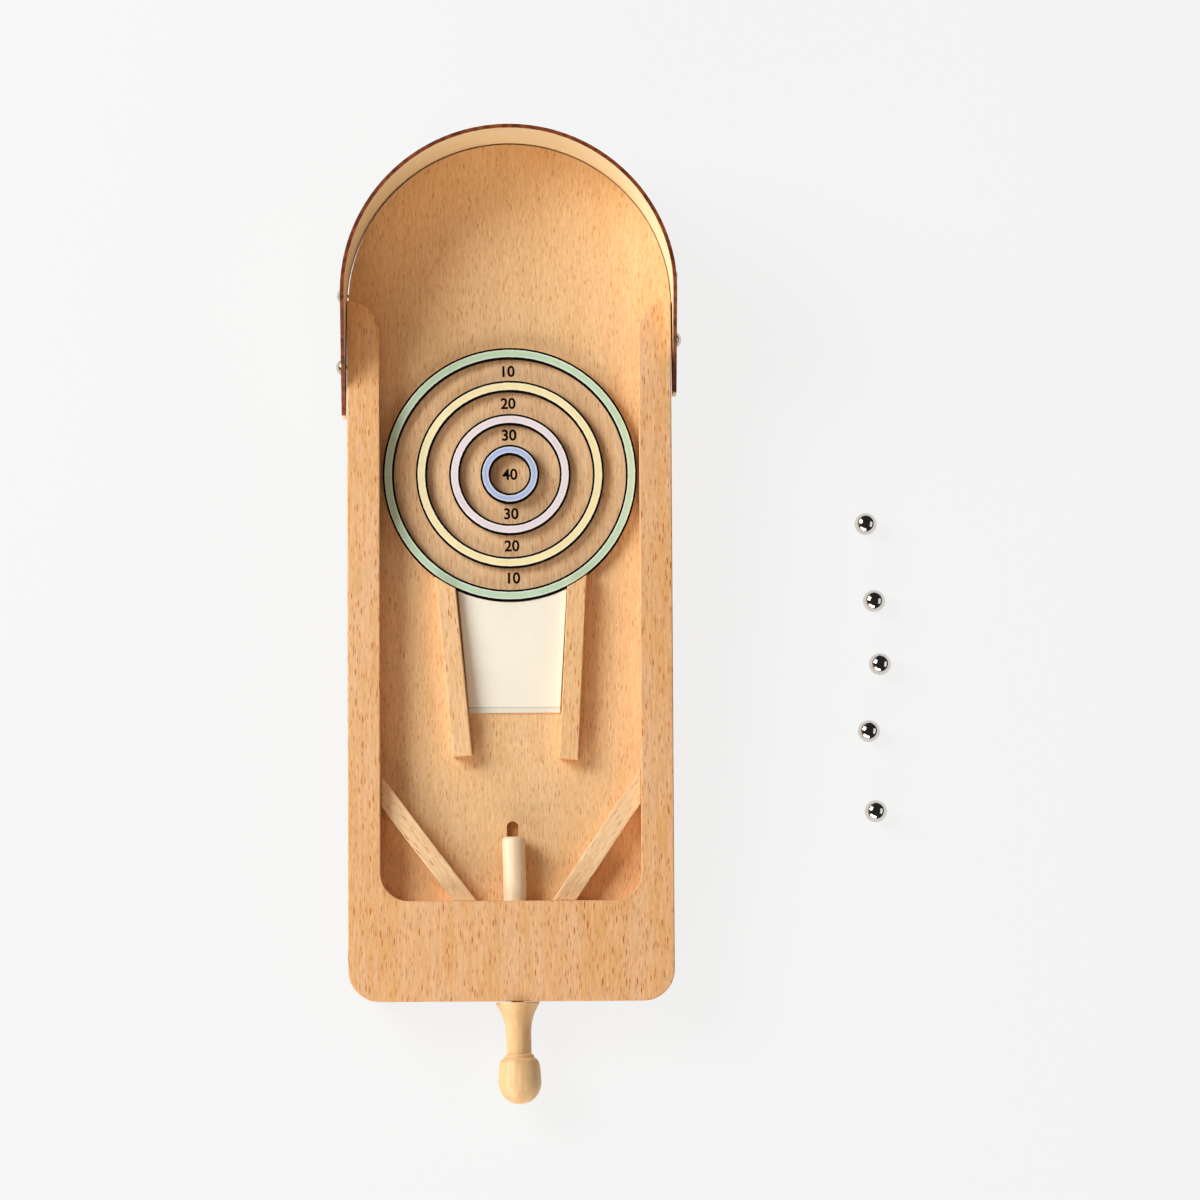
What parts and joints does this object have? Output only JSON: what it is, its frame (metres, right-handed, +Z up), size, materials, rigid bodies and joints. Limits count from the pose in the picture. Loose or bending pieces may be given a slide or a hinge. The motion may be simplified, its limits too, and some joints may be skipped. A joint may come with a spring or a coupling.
{
  "type": "pachinko machine",
  "caption": "Wooden tabletop pachinko machine with a spring plunger, a ramp, a ringed target, a bent hoop round the arc and loose steel balls.",
  "frame": {"origin": "centre of the front pad's underside, on the surface that the machine stands on", "axes": "+Y from the plunger's end towards the arc, level with the table; +Z up; +X to the player's right"},
  "size_m": [0.2237, 0.3888, 0.0745],
  "materials": {
    "beech": "satin",
    "beech_veneer": "satin",
    "plywood": "matte",
    "maple_veneer": "satin",
    "birch": "satin",
    "knob_wood": "satin",
    "green_paint": "matte",
    "yellow_paint": "matte",
    "lilac_paint": "matte",
    "blue_paint": "matte",
    "cream_card": "matte",
    "steel": "polished",
    "ball_steel": "polished",
    "rubber_pad": "matte"
  },
  "bodies": {
    "frame": {"base_board": "plywood", "playfield_panel": "beech_veneer", "u_frame": "beech", "hoop_band": "maple_veneer", "hoop_tacks": "steel", "target_disc": "beech_veneer", "ring_10_green": "green_paint", "ring_20_yellow": "yellow_paint", "ring_30_lilac": "lilac_paint", "ring_40_blue": "blue_paint", "ramp_plate": "cream_card", "ramp_wedge": "plywood", "ramp_rail_left": "beech", "ramp_rail_right": "beech", "guide_strip_left": "beech", "guide_strip_right": "beech", "seat_washer": "steel", "plunger_spring": "steel", "front_pad": "rubber_pad", "rear_foot": "beech", "foot_screws": "steel"},
    "plunger": {"plunger_rod": "birch", "guide_pin": "steel", "plunger_knob": "knob_wood", "shoulder_washer": "steel"},
    "ball_1": {"ball_1": "ball_steel"},
    "ball_2": {"ball_2": "ball_steel"},
    "ball_3": {"ball_3": "ball_steel"},
    "ball_4": {"ball_4": "ball_steel"},
    "ball_5": {"ball_5": "ball_steel"}
  },
  "joints": [
    {"name": "plunger_slide", "type": "slide", "parent": "frame", "child": "plunger", "axis": [0.0218, -0.9973, -0.0697], "range_m": [0, 0.02], "stiffness_N_per_m": 150, "springref_m": -0.02, "deforming": ["plunger_spring"]},
    {"name": "ball_1_lift", "type": "slide", "parent": "frame", "child": "ball_1", "axis": [0, 0, 1], "range_m": [0, 0.08]},
    {"name": "ball_2_lift", "type": "slide", "parent": "frame", "child": "ball_2", "axis": [0, 0, 1], "range_m": [0, 0.08]},
    {"name": "ball_3_lift", "type": "slide", "parent": "frame", "child": "ball_3", "axis": [0, 0, 1], "range_m": [0, 0.08]},
    {"name": "ball_4_lift", "type": "slide", "parent": "frame", "child": "ball_4", "axis": [0, 0, 1], "range_m": [0, 0.08]},
    {"name": "ball_5_lift", "type": "slide", "parent": "frame", "child": "ball_5", "axis": [0, 0, 1], "range_m": [0, 0.08]}
  ]
}
